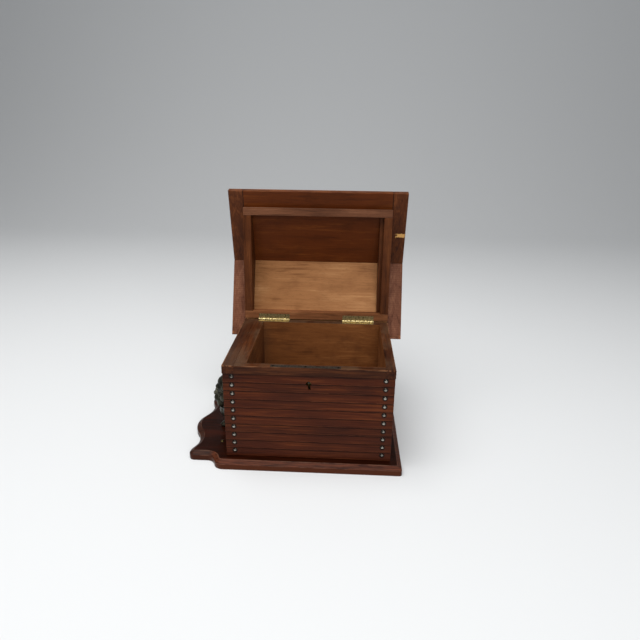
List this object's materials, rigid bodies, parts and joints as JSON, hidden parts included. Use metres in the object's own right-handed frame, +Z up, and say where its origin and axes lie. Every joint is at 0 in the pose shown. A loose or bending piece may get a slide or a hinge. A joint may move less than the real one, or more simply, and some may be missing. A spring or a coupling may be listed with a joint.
{
  "type": "humidor",
  "caption": "Mahogany cigar humidor shaped as a clapboard kennel with a cast bulldog in its arched doorway and a pitched roof lid standing open.",
  "frame": {"origin": "middle of the case's length and depth, on the underside of the plinth", "axes": "+X to the right along the case, away from the doorway; +Y from the front wall with the keyhole to the hinged back; +Z up"},
  "size_m": [0.2612, 0.2035, 0.2928],
  "materials": {
    "siding_mahogany": "waxed reddish mahogany with darker streaks and a worn lower arris",
    "case_mahogany": "polished mahogany outside, bare and brighter inside",
    "plinth_mahogany": "dark polished mahogany with a rubbed bevel",
    "lid_mahogany": "bare planed mahogany inside, polished outside",
    "cast_metal": "olive-grey patinated casting with rubbed highlights",
    "steel_tack": "darkened steel",
    "steel_screw": "plain turned steel",
    "hinge_brass": "aged drawn brass",
    "lock_brass": "plain cast brass",
    "dark_brass": "tarnished almost grey"
  },
  "bodies": {
    "case": {"back_clapboards": "siding_mahogany", "back_nails": "steel_tack", "back_wall": "case_mahogany", "bulldog": "cast_metal", "case_screws": "steel_screw", "doorway_surround": "case_mahogany", "figure_screws": "steel_screw", "floor_board": "case_mahogany", "front_clapboard_01": "siding_mahogany", "front_clapboard_02": "siding_mahogany", "front_clapboard_03": "siding_mahogany", "front_clapboard_04": "siding_mahogany", "front_clapboard_05": "siding_mahogany", "front_clapboard_06": "siding_mahogany", "front_clapboard_07": "siding_mahogany", "front_clapboard_08": "siding_mahogany", "front_clapboard_09": "siding_mahogany", "front_clapboard_10": "siding_mahogany", "front_nails": "steel_tack", "front_wall": "case_mahogany", "hinge_lower_screws": "hinge_brass", "key_pin": "steel_screw", "left_clapboards": "siding_mahogany", "left_hinge_lower_leaf": "hinge_brass", "left_hinge_pin": "hinge_brass", "left_inner_wall": "case_mahogany", "left_nails": "steel_tack", "left_outer_wall": "case_mahogany", "lock_cap": "lock_brass", "lock_case": "lock_brass", "lock_selvedge": "dark_brass", "plinth": "plinth_mahogany", "right_clapboards": "siding_mahogany", "right_hinge_lower_leaf": "hinge_brass", "right_hinge_pin": "hinge_brass", "right_nails": "steel_tack", "right_wall": "case_mahogany", "selvedge_screws": "lock_brass", "yard_tacks": "steel_tack"},
    "lid": {"hinge_upper_screws": "hinge_brass", "left_hinge_upper_leaf": "hinge_brass", "lid_front_rail": "lid_mahogany", "lid_left_gable": "lid_mahogany", "lid_left_rail": "lid_mahogany", "lid_rear_rail": "lid_mahogany", "lid_right_gable": "lid_mahogany", "lid_right_rail": "lid_mahogany", "right_hinge_upper_leaf": "hinge_brass", "roof_front_board": "lid_mahogany", "roof_rear_board": "lid_mahogany", "verge_front_left": "lid_mahogany", "verge_front_right": "lid_mahogany", "verge_rear_left": "lid_mahogany", "verge_rear_right": "lid_mahogany"},
    "bolt": {"lock_bolt": "lock_brass"}
  },
  "joints": [
    {"name": "lid_hinge", "type": "hinge", "parent": "case", "child": "lid", "pos_m": [0, 0.0738, 0.1255], "axis": [1, 0, 0], "range_deg": [0, 94.71]},
    {"name": "bolt_slide", "type": "slide", "parent": "case", "child": "bolt", "axis": [1, 0, 0], "range_m": [0, 0.005]}
  ]
}
